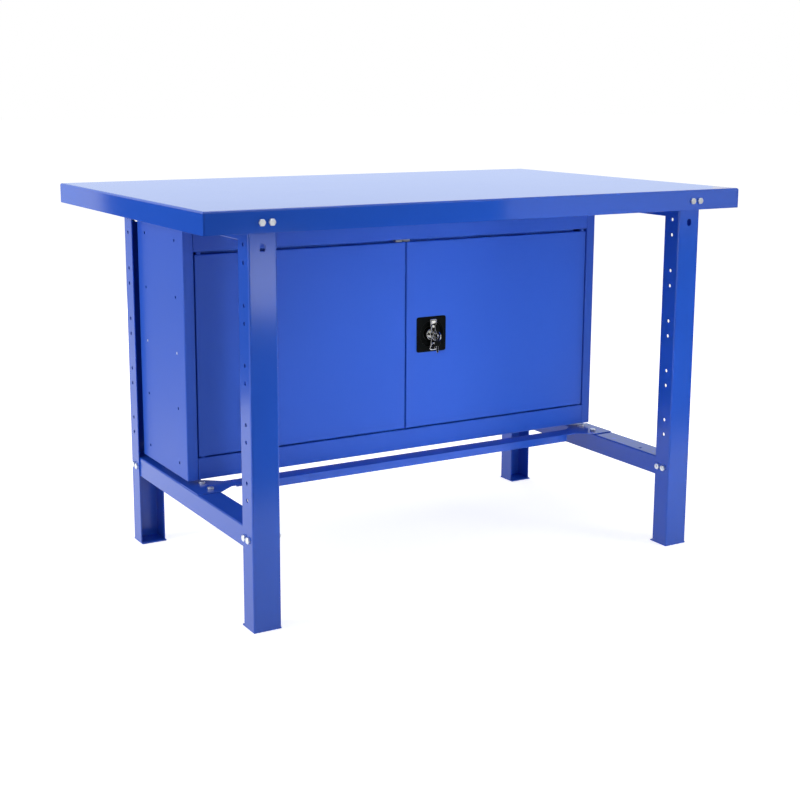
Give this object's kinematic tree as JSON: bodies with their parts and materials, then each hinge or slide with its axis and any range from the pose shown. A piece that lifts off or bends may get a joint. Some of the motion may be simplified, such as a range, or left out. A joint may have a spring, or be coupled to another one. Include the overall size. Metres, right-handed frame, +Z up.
{
  "type": "workbench with cabinet",
  "caption": "Sheet-steel workbench with a tray top on U-channel legs and a lockable cabinet with swinging doors hung at the rear",
  "frame": {"origin": "On the floor under the middle of the footprint, bolt heads included", "axes": "+X to the right of a person facing the doors, +Y from the front to the rear, +Z up"},
  "size_m": [1.32, 0.8634, 0.84],
  "materials": {
    "blue_paint": "glossy powder coat",
    "zinc": "zinc plated",
    "chrome": "bright nickel plated",
    "lock_black": "satin black"
  },
  "bodies": {
    "bench": {"cabinet_back": "blue_paint", "cabinet_bottom": "blue_paint", "cabinet_side_left": "blue_paint", "cabinet_side_right": "blue_paint", "cabinet_top": "blue_paint", "door_catch": "zinc", "front_rail": "blue_paint", "hanger_bolts_left": "zinc", "hanger_bolts_right": "zinc", "hinge_pin_bottom_left": "blue_paint", "hinge_pin_bottom_right": "blue_paint", "hinge_pin_top_left": "blue_paint", "hinge_pin_top_right": "blue_paint", "leg_front_left": "blue_paint", "leg_front_right": "blue_paint", "leg_rear_left": "blue_paint", "leg_rear_right": "blue_paint", "lower_bolts_front_left": "zinc", "lower_bolts_front_right": "zinc", "lower_bolts_rear_left": "zinc", "lower_bolts_rear_right": "zinc", "lower_stretcher_left": "blue_paint", "lower_stretcher_right": "blue_paint", "rear_rail": "blue_paint", "shelf": "blue_paint", "shelf_clip_front_left": "zinc", "shelf_clip_front_right": "zinc", "shelf_clip_rear_left": "zinc", "shelf_clip_rear_right": "zinc", "tie_beam": "blue_paint", "tie_bolts_left": "zinc", "tie_bolts_right": "zinc", "upper_bolts_front_left": "zinc", "upper_bolts_front_right": "zinc", "upper_bolts_rear_left": "zinc", "upper_bolts_rear_right": "zinc", "upper_stretcher_left": "blue_paint", "upper_stretcher_right": "blue_paint", "worktop": "blue_paint", "worktop_bolts_front_left": "zinc", "worktop_bolts_front_right": "zinc", "worktop_bolts_rear_left": "zinc", "worktop_bolts_rear_right": "zinc", "worktop_skirt_front": "blue_paint", "worktop_skirt_left": "blue_paint", "worktop_skirt_rear": "blue_paint", "worktop_skirt_right": "blue_paint"},
    "door_left": {"door_left": "blue_paint"},
    "door_right": {"door_right": "blue_paint", "lock_plate": "lock_black", "rod_guide_lower": "zinc", "rod_guide_upper": "zinc", "spare_key": "chrome"},
    "lock_handle": {"lock_handle": "chrome", "lock_cam": "zinc"},
    "lock_key": {"lock_cylinder": "chrome", "key": "chrome"},
    "rod_upper": {"locking_rod_upper": "zinc"},
    "rod_lower": {"locking_rod_lower": "zinc"}
  },
  "joints": [
    {"name": "door_left_hinge", "type": "hinge", "parent": "bench", "child": "door_left", "pos_m": [-0.512, -0.03935, 0.492], "axis": [0, 0, -1], "range_deg": [0, 86]},
    {"name": "door_right_hinge", "type": "hinge", "parent": "bench", "child": "door_right", "pos_m": [0.512, -0.03935, 0.492], "axis": [0, 0, 1], "range_deg": [0, 86]},
    {"name": "handle_turn", "type": "hinge", "parent": "door_right", "child": "lock_handle", "pos_m": [0.069, -0.04235, 0.492], "axis": [0, 1, 0], "range_deg": [0, 90]},
    {"name": "key_turn", "type": "hinge", "parent": "lock_handle", "child": "lock_key", "pos_m": [0.069, -0.04735, 0.492], "axis": [0, 1, 0], "range_deg": [0, 90]},
    {"name": "rod_upper_slide", "type": "slide", "parent": "door_right", "child": "rod_upper", "axis": [0, 0, 1], "range_m": [0, 0.02]},
    {"name": "rod_lower_slide", "type": "slide", "parent": "door_right", "child": "rod_lower", "axis": [0, 0, -1], "range_m": [0, 0.02]}
  ],
  "couplings": [
    {"joint": "rod_upper_slide", "follows": "handle_turn", "m_per_rad": 0.012732},
    {"joint": "rod_lower_slide", "follows": "handle_turn", "m_per_rad": 0.012732}
  ]
}
